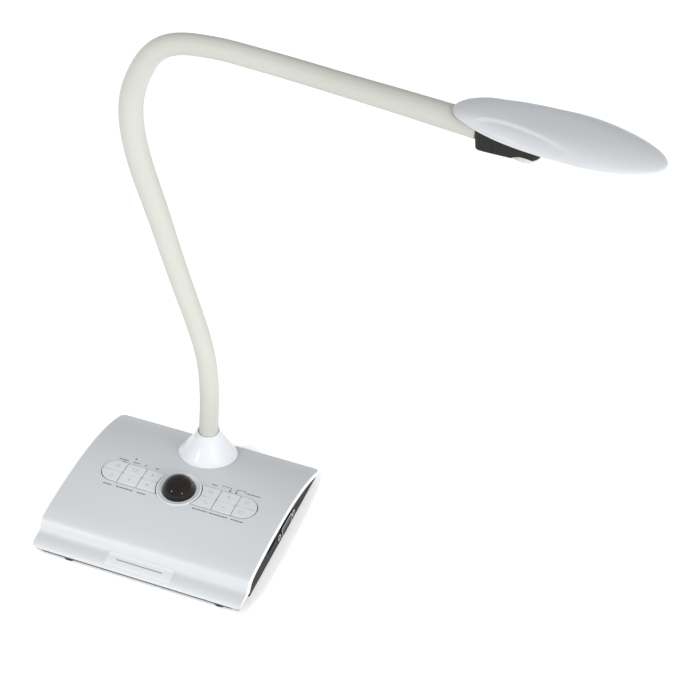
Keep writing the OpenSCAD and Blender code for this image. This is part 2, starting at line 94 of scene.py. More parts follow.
def coords(nt, scale=1.0, stretch=None):
    tc = nt.nodes.new("ShaderNodeTexCoord")
    mp = nt.nodes.new("ShaderNodeMapping")
    s = (scale, scale, scale) if stretch is None else tuple(scale * k for k in stretch)
    mp.inputs["Scale"].default_value = s
    nt.links.new(tc.outputs["Object"], mp.inputs["Vector"])
    return mp.outputs["Vector"]


def noise(nt, vec, scale, detail=3.0, rough=0.5):
    n = nt.nodes.new("ShaderNodeTexNoise")
    n.inputs["Scale"].default_value = scale
    n.inputs["Detail"].default_value = detail
    n.inputs["Roughness"].default_value = rough
    nt.links.new(vec, n.inputs["Vector"])
    return n.outputs["Fac"]


def ramp(nt, fac, stops):
    r = nt.nodes.new("ShaderNodeValToRGB")
    el = r.color_ramp.elements
    while len(el) < len(stops):
        el.new(0.5)
    for e, (p, c) in zip(el, stops):
        e.position = p
        e.color = (*c, 1) if len(c) == 3 else c
    nt.links.new(fac, r.inputs["Fac"])
    return r.outputs["Color"]


def spread(nt, fac, a, b, lo=0.3, hi=0.7):
    r = nt.nodes.new("ShaderNodeMapRange")
    r.inputs["From Min"].default_value = lo
    r.inputs["From Max"].default_value = hi
    r.inputs["To Min"].default_value = a
    r.inputs["To Max"].default_value = b
    nt.links.new(fac, r.inputs["Value"])
    return r.outputs["Result"]


def bump(nt, fac, bsdf, strength, dist):
    b = nt.nodes.new("ShaderNodeBump")
    b.inputs["Strength"].default_value = strength
    b.inputs["Distance"].default_value = dist
    nt.links.new(fac, b.inputs["Height"])
    nt.links.new(b.outputs["Normal"], bsdf.inputs["Normal"])
    return b


def tone(c, k):
    return tuple(min(1.0, max(0.0, x * k)) for x in c)


def moulded(name, col, vary=0.03, rough=(0.36, 0.46), grain=900, bumps=0.12, coat=0.0, spec=0.5, metal=0.0, soft=9.0, speck=0.0,
            coat_rough=0.12):
    """Moulded or painted plastic: slow colour drift, fine grain in the relief and in the gloss, and optional metallic speckle."""
    m, nt, b = node_tree(name)
    vec = coords(nt)
    slow = noise(nt, vec, soft, 2.0)
    fine = noise(nt, vec, grain, 2.0, 0.6)
    if speck:
        f = noise(nt, vec, 2600, 1.0, 0.5)
        mix = nt.nodes.new("ShaderNodeMath")
        mix.operation = "MULTIPLY_ADD"
        nt.links.new(f, mix.inputs[0])
        mix.inputs[1].default_value = speck
        nt.links.new(slow, mix.inputs[2])
        src, lo_, hi_ = mix.outputs[0], 0.3 + 0.35 * speck, 0.7 + 0.65 * speck
    else:
        src, lo_, hi_ = slow, 0.3, 0.7
    fac = spread(nt, src, 0, 1, lo_, hi_)
    nt.links.new(ramp(nt, fac, [(0, tone(col, 1 - vary)), (1, tone(col, 1 + vary))]), b.inputs["Base Color"])
    nt.links.new(spread(nt, fine, rough[0], rough[1]), b.inputs["Roughness"])
    b.inputs["Specular IOR Level"].default_value = spec
    b.inputs["Metallic"].default_value = metal
    if coat:
        b.inputs["Coat Weight"].default_value = coat
        b.inputs["Coat Roughness"].default_value = coat_rough
    if bumps:
        bump(nt, fine, b, bumps, 0.0002)
    return m


def metal_mat(name, col, rough=(0.25, 0.4), brushed=(1, 1, 1), vary=0.08):
    m, nt, b = node_tree(name)
    vec = coords(nt, 1.0, brushed)
    n = noise(nt, vec, 500, 4.0, 0.65)
    slow = noise(nt, vec, 40, 2.0)
    nt.links.new(ramp(nt, spread(nt, slow, 0, 1), [(0, tone(col, 1 - vary)), (1, tone(col, 1 + vary))]), b.inputs["Base Color"])
    nt.links.new(spread(nt, n, *rough), b.inputs["Roughness"])
    b.inputs["Metallic"].default_value = 1.0
    bump(nt, n, b, 0.1, 0.0001)
    return m


def lin(r, g, b):
    return tuple(((c / 255 + 0.055) / 1.055) ** 2.4 if c > 10 else c / 255 / 12.92 for c in (r, g, b))


mats = {}
mats["silver"] = moulded("silver_shell", (0.515, 0.533, 0.545), 0.012, (0.34, 0.42), 1400, 0.05, coat=0.25, spec=0.5, speck=0.12, coat_rough=0.25)
# rim: a lighter copy of the silver plastic for the side faces of the shell's edge, a painted highlight
mats["rim"] = moulded("shell_edge_painted_highlight", (0.80, 0.80, 0.81), 0.01, (0.28, 0.36), 1400, 0.03, coat=0.4)
# head: the same silver plastic as the base shell, painted lighter on the head to stand in for light
mats["head"] = moulded("silver_head_painted_lighter", (0.575, 0.592, 0.608), 0.012, (0.30, 0.38), 1400, 0.04, coat=0.3, spec=0.5, speck=0.10, coat_rough=0.2)
mats["key"] = moulded("key_caps", (0.565, 0.585, 0.585), 0.05, (0.36, 0.5), 1700, 0.22, speck=0.9, spec=0.5)
mats["ring"] = moulded("ring_plastic", (0.55, 0.57, 0.575), 0.03, (0.25, 0.34), 1500, 0.06, coat=0.4, speck=0.3)
mats["charcoal"] = moulded("charcoal_plastic", (0.013, 0.0128, 0.0122), 0.14, (0.42, 0.58), 1100, 0.5, spec=0.28)
mats["side"] = moulded("tray_plastic", (0.011, 0.0108, 0.0104), 0.14, (0.45, 0.6), 1100, 0.5, spec=0.2)
mats["black"] = moulded("black_plastic", (0.018, 0.018, 0.018), 0.15, (0.35, 0.5), 900, 0.3)
mats["collar"] = moulded("collar_white", (0.60, 0.615, 0.64), 0.01, (0.2, 0.27), 1200, 0.03, coat=0.5, coat_rough=0.08)
mats["sleeve"] = moulded("neck_sleeve", (0.485, 0.49, 0.448), 0.02, (0.4, 0.5), 1500, 0.16, spec=0.45, soft=14)
mats["pale"] = moulded("pale_cover", (0.6, 0.61, 0.62), 0.015, (0.36, 0.46), 1200, 0.1)
mats["focus"] = moulded("focus_white", (0.60, 0.60, 0.57), 0.03, (0.35, 0.45), 1200, 0.15)
mats["rubber"] = moulded("foot_rubber", (0.022, 0.022, 0.022), 0.2, (0.65, 0.85), 1500, 0.5, spec=0.3)
mats["ink"] = moulded("ink", (0.09, 0.092, 0.095), 0.1, (0.5, 0.6), 1500, 0.0)
mats["icon"] = moulded("icon_ink", (0.42, 0.43, 0.43), 0.08, (0.5, 0.6), 1500, 0.0)
mats["steel"] = metal_mat("steel", (0.55, 0.55, 0.56))
mats["plated"] = metal_mat("plated", (0.72, 0.69, 0.62), (0.2, 0.35))
mats["plate"] = moulded("plate_silver", (0.60, 0.615, 0.625), 0.02, (0.25, 0.33), 1300, 0.05, coat=0.3)
mats["plate_grey"] = moulded("plate_grey", (0.27, 0.28, 0.29), 0.06, (0.35, 0.42), 1300, 0.03, coat=0.3)


def dome_material():
    m, nt, b = node_tree("dark_dome")
    vec = coords(nt)
    slow = noise(nt, vec, 60, 2.0)
    nt.links.new(ramp(nt, spread(nt, slow, 0, 1), [(0, (0.006, 0.0042, 0.0036)), (1, (0.013, 0.008, 0.0066))]), b.inputs["Base Color"])
    nt.links.new(spread(nt, noise(nt, vec, 900, 2.0), 0.03, 0.07), b.inputs["Roughness"])
    b.inputs["Specular IOR Level"].default_value = 0.28
    b.inputs["Coat Weight"].default_value = 0.2
    b.inputs["Coat Roughness"].default_value = 0.03
    return m


def glass_material():
    m, nt, b = node_tree("lens_glass")
    vec = coords(nt)
    slow = noise(nt, vec, 200, 1.0)
    nt.links.new(ramp(nt, spread(nt, slow, 0, 1), [(0, (0.010, 0.014, 0.03)), (1, (0.02, 0.02, 0.05))]), b.inputs["Base Color"])
    nt.links.new(spread(nt, noise(nt, vec, 700, 1.0), 0.02, 0.05), b.inputs["Roughness"])
    b.inputs["Coat Weight"].default_value = 1.0
    b.inputs["Coat Roughness"].default_value = 0.02
    b.inputs["Coat Tint"].default_value = (0.75, 0.8, 1.0, 1)
    return m


def diffuser_material():
    m, nt, b = node_tree("lamp_diffuser")
    vec = coords(nt)
    n = nt.nodes.new("ShaderNodeTexVoronoi")
    n.inputs["Scale"].default_value = 900
    nt.links.new(vec, n.inputs["Vector"])
    nt.links.new(ramp(nt, n.outputs["Distance"], [(0, (0.86, 0.86, 0.82)), (1, (0.93, 0.93, 0.9))]), b.inputs["Base Color"])
    b.inputs["Roughness"].default_value = 0.4
    bump(nt, n.outputs["Distance"], b, 0.5, 0.0002)
    return m


def led_material():
    m, nt, b = node_tree("led_lens")
    vec = coords(nt)
    nt.links.new(ramp(nt, noise(nt, vec, 800, 1.0), [(0.3, (0.05, 0.09, 0.055)), (0.7, (0.09, 0.14, 0.09))]), b.inputs["Base Color"])
    b.inputs["Roughness"].default_value = 0.15
    b.inputs["Coat Weight"].default_value = 0.6
    return m


def board_material():
    m, nt, b = node_tree("circuit_board")
    vec = coords(nt)
    v = nt.nodes.new("ShaderNodeTexVoronoi")
    v.distance = "CHEBYCHEV"
    v.inputs["Scale"].default_value = 260
    nt.links.new(vec, v.inputs["Vector"])
    nt.links.new(ramp(nt, v.outputs["Distance"], [(0.0, (0.55, 0.42, 0.12)), (0.12, (0.02, 0.11, 0.04)), (1, (0.015, 0.08, 0.03))]), b.inputs["Base Color"])
    b.inputs["Roughness"].default_value = 0.35
    return m


def socket_material():
    """Video socket: plated rim round a dark insert, split by how far a point stands out of the side wall."""
    m, nt, b = node_tree("video_socket")
    tc = nt.nodes.new("ShaderNodeTexCoord")
    sep = nt.nodes.new("ShaderNodeSeparateXYZ")
    nt.links.new(tc.outputs["Object"], sep.inputs["Vector"])
    x_rim = float(M([80.42, 0, 0])[0])
    gt = nt.nodes.new("ShaderNodeMath")
    gt.operation = "GREATER_THAN"
    nt.links.new(sep.outputs["X"], gt.inputs[0])
    gt.inputs[1].default_value = x_rim
    lt = nt.nodes.new("ShaderNodeMath")
    lt.operation = "LESS_THAN"
    nt.links.new(sep.outputs["X"], lt.inputs[0])
    lt.inputs[1].default_value = float(M([75.72, 0, 0])[0])
    add = nt.nodes.new("ShaderNodeMath")
    add.operation = "MAXIMUM"
    nt.links.new(gt.outputs[0], add.inputs[0])
    nt.links.new(lt.outputs[0], add.inputs[1])
    nt.links.new(ramp(nt, add.outputs[0], [(0.45, (0.022, 0.024, 0.04)), (0.55, (0.72, 0.69, 0.62))]), b.inputs["Base Color"])
    nt.links.new(add.outputs[0], b.inputs["Metallic"])
    nt.links.new(spread(nt, noise(nt, coords(nt), 700, 2.0), 0.25, 0.42), b.inputs["Roughness"])
    return m


mats["dome"] = dome_material()
mats["glass"] = glass_material()
mats["diffuser"] = diffuser_material()
mats["led"] = led_material()
mats["board"] = board_material()
mats["socket"] = socket_material()


def put(obj, mat):
    obj.data.materials.clear()
    obj.data.materials.append(mat)


for n, k in {
    "base_tray": "side", "camera_housing": "charcoal", "keypad_frame": "charcoal", "ballast_plate": "steel", "key_pivot_rods": "steel",
    "tray_screws": "steel", "anchor_screws": "steel", "head_screws": "steel", "neck_anchor": "steel", "neck_ferrule": "steel",
    "vga_socket": "socket", "vga_jackscrews": "plated", "usb_socket": "plated", "dc_jack": "black", "key_switches": "black",
    "ir_receiver": "black", "lens_barrel": "black", "main_board": "board", "camera_board": "board", "lamp_board": "board",
    "ir_dome": "dome", "status_leds": "led", "name_badge": "plate", "rubber_feet": "rubber", "neck_collar": "collar",
    "head_bottom_cover": "pale", "lens_glass": "glass", "focus_ring": "focus", "lamp_diffuser": "diffuser", "base_top_shell": "silver",
    "dome_ring": "ring", "head_top_shell": "head", "key_left_1": "key", "key_left_2": "key", "key_left_3": "key",
    "key_right_1": "key", "key_right_2": "key", "key_right_3": "key",
}.items():
    put(nodes[n], mats[k])
for k in range(0, 11):
    put(nodes["neck_sleeve_%d" % k], mats["sleeve"])
for k in range(1, 11):
    put(nodes["neck_core_%d" % k], mats["steel"])
for n in ("head_bottom_cover", "neck_collar", "focus_ring", "lens_barrel", "rubber_feet", "ir_dome", "dome_ring", "vga_jackscrews", "dc_jack",
          "head_screws", "tray_screws", "lens_glass", "neck_ferrule"):
    pass


# ------------------------------------------------------------------ mesh helpers
def build(name, verts, faces, mat, body=None, replaces=(), angle=35, ride=True):
    me = bpy.data.meshes.new(name)
    me.from_pydata([tuple(v) for v in M(verts)], [], [tuple(int(i) for i in f) for f in faces])
    bm = bmesh.new()
    bm.from_mesh(me)
    bmesh.ops.recalc_face_normals(bm, faces=bm.faces)
    bm.to_mesh(me)
    bm.free()
    me.shade_smooth()
    me.set_sharp_from_angle(angle=math.radians(angle))
    ob = bpy.data.objects.new(name, me)
    scene.collection.objects.link(ob)
    if mat is not None:
        ob.data.materials.append(mats[mat])
    if body and ride:
        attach(ob, body)
    if replaces:
        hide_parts(*replaces)
    return ob


def rings_mesh(rings, close=True, caps=True):
    """Quads between equal closed rings of points. close joins each ring round; caps fills the first and last ring."""
    n = len(rings[0])
    verts = [p for r in rings for p in r]
    faces = []
    for i in range(len(rings) - 1):
        for j in range(n if close else n - 1):
            a, b = i * n + j, i * n + (j + 1) % n
            faces.append((a, b, b + n, a + n))
    if caps:
        faces.append(tuple(range(n))[::-1])
        faces.append(tuple(range((len(rings) - 1) * n, len(rings) * n)))
    return verts, faces


def lathe(profile, centre, n=96, tilt=None):
    """Solid of revolution of a closed (r, z) loop about a vertical axis."""
    rings = []
    for i in range(n):
        t = 2 * math.pi * i / n
        rings.append([(centre[0] + r * math.cos(t), centre[1] + r * math.sin(t), centre[2] + z) for r, z in profile])
    m = len(profile)
    verts = [p for r in rings for p in r]
    faces = []
    for i in range(n):
        k = (i + 1) % n
        for j in range(m):
            l = (j + 1) % m
            faces.append((i * m + j, k * m + j, k * m + l, i * m + l))
    return verts, faces


def arc(cx, cy, r, a0, a1, n):
    return [(cx + r * math.cos(math.radians(a0 + (a1 - a0) * i / n)), cy + r * math.sin(math.radians(a0 + (a1 - a0) * i / n))) for i in range(n + 1)]


def join(objs, name):
    """One mesh out of several builds (verts, faces)."""
    V, F = [], []
    for v, f in objs:
        k = len(V)
        V += [tuple(p) for p in v]
        F += [tuple(i + k for i in q) for q in f]
    return V, F


def bevel(ob, width, segs=3, angle=30):
    b = ob.modifiers.new("edge_round", "BEVEL")
    b.width = width / 1000
    b.segments = segs
    b.limit_method = "ANGLE"
    b.angle_limit = math.radians(angle)
    b.harden_normals = False
    b.miter_outer = "MITER_ARC"
    return b


def apply_all(ob):
    dg = bpy.context.evaluated_depsgraph_get()
    dg.update()
    me = bpy.data.meshes.new_from_object(ob.evaluated_get(dg))
    old = ob.data
    ob.modifiers.clear()
    ob.data = me
    bpy.data.meshes.remove(old)


# ------------------------------------------------------------------ profile of the base
LIP = [(-68.4, 5.7), (-69.6, 6.4), (-70, 7.6), (-69, 9), (-66.5, 10.2), (-63, 10.9), (-60, 11.2), (-57.8, 12), (-56, 14.2), (-54.2, 16.8),
       (-51.5, 18.9), (-44, 20.4), (-34, 21.3), (-20, 22.1), (-5, 22.4), (10, 22), (25, 20.6), (40, 17.8), (52, 14.6), (62, 11), (70, 7.2),
       (73, 5.8)]
UNDER = [(-66.2, 5.7), (-66.4, 7.2), (-64.6, 8.3), (-61, 8.8), (-57.6, 9.3), (-55.2, 11), (-53, 14.2), (-50, 16.4), (-46, 17.6)]


def catmull(p, n):
    p = [np.array(q, float) for q in p]
    out = []
    for i in range(len(p) - 1):
        a, b, c, d = p[max(i - 1, 0)], p[i], p[i + 1], p[min(i + 2, len(p) - 1)]
        for j in range(n):
            t = j / n
            out.append(0.5 * (2 * b + (c - a) * t + (2 * a - 5 * b + 4 * c - d) * t * t + (3 * b - a - 3 * c + d) * t ** 3))
    out.append(p[-1])
    return np.array(out)


def resample(p, n):
    s = np.r_[0, np.cumsum(np.linalg.norm(np.diff(p, axis=0), axis=1))]
    q = np.linspace(0, s[-1], n)
    return np.c_[[np.interp(q, s, p[:, k]) for k in range(p.shape[1])]].T


top = catmull(LIP, 3)
arch = top[top[:, 0] > -60]


def surf(y):
    return float(np.interp(y, arch[:, 0], arch[:, 1]))


def inward(p, t):
    d = np.gradient(p, axis=0)
    d /= np.linalg.norm(d, axis=1)[:, None]
    return p + t * np.c_[d[:, 1], -d[:, 0]]


HW = 80.5


def base_shell():
    N = 260
    outer_fine = catmull(LIP, 12)
    outer = resample(outer_fine, N)
    ins = inward(resample(catmull(LIP, 3), 400), 2.4)
    ins = ins[(ins[:, 0] > -43) & (ins[:, 1] > 5.75)]
    under = resample(np.vstack([catmull(UNDER, 4), ins]), N)
    r = 1.1
    stations = []
    for k in range(6):
        a = math.pi / 2 * k / 5
        stations.append((HW - r + r * math.sin(a), r * (1 - math.cos(a))))
    xs = [(-x, i) for x, i in reversed(stations)] + stations

    def ring(x, i):
        o = inward(outer, i)
        # the two ends of the profile keep clear of the inner face
        loop = np.vstack([o, under[::-1]])
        out = []
        for y, z in loop:
            xx = x
            lim = HW
            if y < -56.2 and z < 12.2:
                lim = min(HW, 73.5 + math.sqrt(max(0.0, 7.0 ** 2 - (12.2 - max(z, 5.72)) ** 2)))
            if y > 69:
                lim = HW - 4 + math.sqrt(max(0.0, 16 - (min(y, 72.9) - 69) ** 2))
            if lim < HW:
                xx = (1 if x > 0 else -1) * (70 + (abs(x) - 70) * (lim - 70) / (HW - 70))
            out.append((xx, y, z))
        return out

    rings = [ring(x, i) for x, i in xs]
    n = len(rings[0])
    verts, faces = rings_mesh(rings, True, False)
    # the ends: quads between the outer line and the inner line
    for base, flip in ((0, True), ((len(rings) - 1) * n, False)):
        for j in range(N - 1):
            a, b, c, d = base + j, base + j + 1, base + n - 2 - j, base + n - 1 - j
            faces.append((a, b, c, d) if flip else (d, c, b, a))
    ob = build("base_shell", verts, faces, "silver", angle=40)
    return ob


PAD_Y, PAD_HALF, PAD_R, GAP, RING_R, DOME_R, DOME_H = 4.3, 59.7, 9.75, 0.62, 16.4, 11.9, 11.0


def stadium(half, r, n=24):
    return arc(half - r, PAD_Y, r, -90, 90, n) + arc(-(half - r), PAD_Y, r, 90, 270, n)


def cutter(name, outline, z0, z1):
    v = [(x, y, z0) for x, y in outline] + [(x, y, z1) for x, y in outline]
    n = len(outline)
    f = [(j, (j + 1) % n, n + (j + 1) % n, n + j) for j in range(n)]
    f += [tuple(range(n))[::-1], tuple(range(n, 2 * n))]
    ob = build(name, v, f, None)
    return ob


shell = base_shell()
cuts = [cutter("cut_pad", stadium(PAD_HALF + GAP, PAD_R + GAP), 12, 40), cutter("cut_ring", arc(0, PAD_Y, RING_R + 0.15, 0, 354, 59), 11, 41),
        cutter("cut_neck", arc(1.6, 51.5, 10, 0, 354, 59), 3, 40)]
for c in cuts:
    b = shell.modifiers.new(c.name, "BOOLEAN")
    b.object = c
    b.operation = "DIFFERENCE"
    b.solver = "EXACT"
apply_all(shell)
for c in cuts:
    bpy.data.objects.remove(c)
if not shell.data.materials:
    shell.data.materials.append(mats["silver"])
shell.data.shade_smooth()
shell.data.set_sharp_from_angle(angle=math.radians(40))
# painted highlight: faces on the shell's left and right edges that do not face down take the lighter rim copy of the
# silver
shell.data.materials.append(mats["rim"])
for poly in shell.data.polygons:
    c = poly.center
    if abs(c.x - float(M([0, 0, 0])[0])) > (HW - 1.15) / 1000 and poly.normal.z > -0.9:
        poly.material_index = 1
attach(shell, "base")
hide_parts("base_top_shell")

# outer faces of the tray: a dark strip under the lip, and the side walls out to the edge of the shell
TRAY_Z = float(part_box("base_tray")[0][2]) * 1000
VGA_Y, VGA_Z, USB_Y, USB_Z, DC_Y, DC_Z = 9.5, 11.4, -15, 16.1, 5, 11.8


def extrude_x(name, outline, x0, x1, mat):
    v = [(x0, y, z) for y, z in outline] + [(x1, y, z) for y, z in outline]
    n = len(outline)
    f = [(j, (j + 1) % n, n + (j + 1) % n, n + j) for j in range(n)]
    f += [tuple(range(n))[::-1], tuple(range(n, 2 * n))]
    return build(name, v, f, mat)


def side_wall(s):
    inner = np.vstack([catmull(UNDER, 4), inward(resample(catmull(LIP, 3), 400), 2.4)])
    inner = inner[(inner[:, 0] > -59) & (inner[:, 1] > TRAY_Z + 0.6)]
    inner = np.vstack([inner[inner[:, 0] < -46.5], inner[inner[:, 0] > -42]]) if len(inner) else inner
    inner = inner[np.argsort(inner[:, 0], kind="stable")]
    ys = np.linspace(-54.5, 67, 90)
    zs = np.interp(ys, inner[:, 0], inner[:, 1]) - 0.12
    pts = [(float(y), float(z)) for y, z in zip(ys, zs)] + [(67.0, TRAY_Z), (-54.5, TRAY_Z)]
    ob = extrude_x("tray_wall_%s" % ("r" if s > 0 else "l"), pts, s * 77.3, s * 79.5, "side")
    tools = []
    if s > 0:
        d = [(VGA_Y - 9.1, VGA_Z + 4.7), (VGA_Y - 7.9, VGA_Z - 4.7), (VGA_Y + 7.9, VGA_Z - 4.7), (VGA_Y + 9.1, VGA_Z + 4.7)]
        tools.append(extrude_x("c_vga", d, 76, 84, None))
        for t in (-1, 1):
            tools.append(extrude_x("c_nut%d" % t, arc(VGA_Y + t * 12.5, VGA_Z, 3.05, 0, 345, 23), 76, 84, None))
        tools.append(extrude_x("c_usb", [(USB_Y - 7, USB_Z - 3.1), (USB_Y + 7, USB_Z - 3.1), (USB_Y + 7, USB_Z + 3.1), (USB_Y - 7, USB_Z + 3.1)], 76, 84, None))
    else:
        tools.append(extrude_x("c_dc", arc(DC_Y, DC_Z, 4.5, 0, 352, 44), -84, -76, None))
    for t in tools:
        b = ob.modifiers.new(t.name, "BOOLEAN")
        b.object = t
        b.operation = "DIFFERENCE"
        b.solver = "EXACT"
    bv = ob.modifiers.new("soft", "BEVEL")
    bv.width = 0.0004
    bv.segments = 2
    bv.limit_method = "ANGLE"
    bv.angle_limit = math.radians(50)
    apply_all(ob)
    for t in tools:
        bpy.data.objects.remove(t)
    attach(ob, "base")
    return ob


side_wall(1)
side_wall(-1)


def front_strip():
    plan = arc(75.8 - 5, -69.1 + 5, 5, -90, 0, 8) + [(75.8, -58), (-75.8, -58)] + arc(-75.8 + 5, -69.1 + 5, 5, 180, 270, 8)
    rings = []
    for ins, z in ((0.35, TRAY_Z + 0.1), (0.05, TRAY_Z + 0.4), (0.0, TRAY_Z + 0.8), (0.0, 5.95)):
        rings.append([(x * (1 - ins / 76), y + ins if y < -60 else y, z) for x, y in plan])
    v, f = rings_mesh(rings, True, True)
    ob = build("tray_front_strip", v, f, "black", angle=40)
    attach(ob, "base")


front_strip()


# ------------------------------------------------------------------ prisms that follow the arch
def prism(outline, top_h, bottom_h, ny=1.6, follow=True):
    """A flat-sided block over an outline; its top and bottom follow the arched shell."""
    bm = bmesh.new()
    vs = [bm.verts.new((x, y, 0)) for x, y in outline]
    bm.faces.new(vs)
    ys = [p[1] for p in outline]
    y = math.floor(min(ys) / ny) * ny
    while y < max(ys):
        if y > min(ys) + 0.3 and y < max(ys) - 0.3:
            bmesh.ops.bisect_plane(bm, geom=bm.verts[:] + bm.edges[:] + bm.faces[:], plane_co=(0, y, 0), plane_no=(0, 1, 0), dist=1e-5)
        y += ny
    bm.verts.ensure_lookup_table()
    base = [v.co.copy() for v in bm.verts]
    n = len(base)
    fl = [tuple(v.index for v in f.verts) for f in bm.faces]
    bm.verts.index_update()
    fl = [tuple(v.index for v in f.verts) for f in bm.faces]
    edge_count = {}
    for f in fl:
        for i in range(len(f)):
            e = (f[i], f[(i + 1) % len(f)])
            edge_count[e] = edge_count.get(e, 0) + 1
    bm.free()
    verts = [(p.x, p.y, surf(p.y) + top_h) for p in base] + [(p.x, p.y, surf(p.y) + bottom_h) for p in base]
    faces = list(fl) + [tuple(n + i for i in f[::-1]) for f in fl]
    for (a, b) in edge_count:
        if (b, a) not in edge_count:
            faces.append((a, n + a, n + b, b))
    return verts, faces


KEY_X = [(0, 29.2), (29.2, 44.3), (44.3, 80)]
R_IN = RING_R + 0.6
RISE = 0.7


def half_key(n, up):
    """Outline of the upper or lower half of key n on the right side; mirrored for the left."""
    x0 = KEY_X[n][0] + (0 if n == 0 else 0.2)
    x1 = KEY_X[n][1] - 0.2
    g = 0.22
    t = PAD_Y + PAD_R
    s = 1
    if n == 0:
        a0 = math.degrees(math.asin(g / R_IN))
        a1 = math.degrees(math.asin(PAD_R / R_IN))
        left = arc(0, PAD_Y, R_IN, a1, a0, 10)
        pts = left + [(x1, PAD_Y + g), (x1, t)]
    elif n == 1:
        pts = [(x0, t), (x0, PAD_Y + g), (x1, PAD_Y + g), (x1, t)]
    else:
        c = PAD_HALF - PAD_R
        a0 = math.degrees(math.asin(g / PAD_R))
        pts = [(x0, t), (x0, PAD_Y + g)] + arc(c, PAD_Y, PAD_R, a0, 90, 16)
    if not up:
        pts = [(x, 2 * PAD_Y - y) for x, y in pts]
    return pts


def icon(kind, cx, cy):
    """Small plain shapes: plus, minus, ring, square, arrows, bars."""
    def box(x, y, w, h):
        return [(cx + x - w / 2, cy + y - h / 2), (cx + x + w / 2, cy + y - h / 2), (cx + x + w / 2, cy + y + h / 2), (cx + x - w / 2, cy + y + h / 2)]
    if kind == "plus":
        w, l = 0.28, 1.5
        return [[(cx - w, cy - l), (cx + w, cy - l), (cx + w, cy - w), (cx + l, cy - w), (cx + l, cy + w), (cx + w, cy + w), (cx + w, cy + l),
                 (cx - w, cy + l), (cx - w, cy + w), (cx - l, cy + w), (cx - l, cy - w), (cx - w, cy - w)]]
    if kind == "minus":
        return [box(0, 0, 3.0, 0.56)]
    if kind == "left":
        return [[(cx - 1.6, cy), (cx + 0.9, cy - 1.4), (cx + 0.9, cy + 1.4)]]
    if kind == "right":
        return [[(cx + 1.6, cy), (cx - 0.9, cy + 1.4), (cx - 0.9, cy - 1.4)]]
    if kind == "bars":
        return [box(-1.2, 0, 0.5, 2.4), box(0, 0, 0.5, 2.4), box(1.2, 0, 0.5, 2.4)]
    if kind == "frame":
        return [box(0, 1.2, 3.6, 0.4), box(0, -1.2, 3.6, 0.4), box(-1.6, 0, 0.4, 2.0), box(1.6, 0, 0.4, 2.0)]
    if kind == "corner":
        return [box(-1.1, 1.2, 1.4, 0.4), box(-1.6, 0.5, 0.4, 1.0), box(1.1, -1.2, 1.4, 0.4), box(1.6, -0.5, 0.4, 1.0)]
    if kind == "dot":
        return [arc(cx, cy, 0.8, 0, 330, 11)]
    out = []
    for k in range(12):
        a = math.radians(30 * k)
        b = math.radians(30 * k + 30)
        if kind == "power" and k in (2, 3):
            continue
        out.append([(cx + 1.1 * math.cos(a), cy + 1.1 * math.sin(a)), (cx + 1.5 * math.cos(a), cy + 1.5 * math.sin(a)),
                    (cx + 1.5 * math.cos(b), cy + 1.5 * math.sin(b)), (cx + 1.1 * math.cos(b), cy + 1.1 * math.sin(b))])
    if kind == "power":
        out.append(box(0, 0.9, 0.4, 1.8))
    return out


ICONS = {("left", 3): ("power", "ring"), ("left", 2): ("frame", "dot"), ("left", 1): ("right", "left"),
         ("right", 1): ("bars", "corner"), ("right", 2): ("plus", "minus"), ("right", 3): ("ring", "frame")}
ICON_X = {1: 22.9, 2: 36.7, 3: 50.4}
for side in ("left", "right"):
    s = 1 if side == "right" else -1
    for n in (1, 2, 3):
        name = "key_%s_%d" % (side, n)
        parts = []
        for up in (True, False):
            o = [(s * x, y) for x, y in half_key(n - 1, up)]
            parts.append(prism(o, RISE, -1.9))
        # the web that joins the halves under the groove, and the rib round the rod
        w0 = (RING_R + 4.3, 30.6, 45.7)[n - 1]
        w1 = (27.8, 42.9, 54.6)[n - 1]
        web = [(s * w0, PAD_Y - 1.5), (s * w1, PAD_Y - 1.5), (s * w1, PAD_Y + 1.5), (s * w0, PAD_Y + 1.5)]
        v, f = join(parts, name)
        cap = build(name + "_cap", v, f, "key", name, (name,), angle=30)
        bevel(cap, 0.32, 3, 40)
        wv, wf = prism(web, 0.3, -6.4)
        webo = build(name + "_web", wv, wf, "key", name, angle=30)
        bevel(webo, 0.15, 2, 40)
        marks = []
        for up, kind in ((True, ICONS[(side, n)][0]), (False, ICONS[(side, n)][1])):
            cy = PAD_Y + (5.1 if up else -5.1)
            for o in icon(kind, s * ICON_X[n], cy):
                marks.append(prism(o, RISE + 0.06, RISE - 0.25, ny=5))
        v, f = join(marks, name + "_marks")
        build(name + "_marks", v, f, "icon", name, angle=30)

# printed lines beside the keys: rows of short dashes and the two brackets
ROWS = [(17.3, -53.5, -45.6), (17.3, -41.7, -37.0), (17.3, -33.0, -31.0), (17.3, -24.4, -21.7), (18.0, 19.9, 23.8), (18.6, 46.7, 57.2),
        (-9.3, -53.0, -46.6), (-9.3, -42.9, -29.8), (-9.3, -26.4, -19.8), (-8.7, 16.3, 28.3), (-8.7, 29.3, 43.6), (-8.7, 45.9, 55.2)]
LINES = [((26.9, 19.4), (34.1, 19.4)), ((34.1, 19.4), (34.5, 17.5)), ((39.2, 17.5), (38.6, 19.6)), ((38.6, 19.6), (44.9, 20.2)),
         ((44.9, 20.2), (45.6, 18.6)), ((-50.0, 15.8), (-46.6, 15.2))]
marks = []
for y, x0, x1 in ROWS:
    x = x0
    k = 0
    while x < x1 - 0.3:
        w = min((1.5, 0.8, 1.1, 2.0, 0.9)[k % 5], x1 - x)
        h = (0.46, 0.38, 0.46, 0.4, 0.46)[k % 5]
        marks.append(prism([(x, y - h), (x + w, y - h), (x + w, y + h), (x, y + h)], 0.05, -0.25, ny=5))
        x += w + 0.28
        k += 1
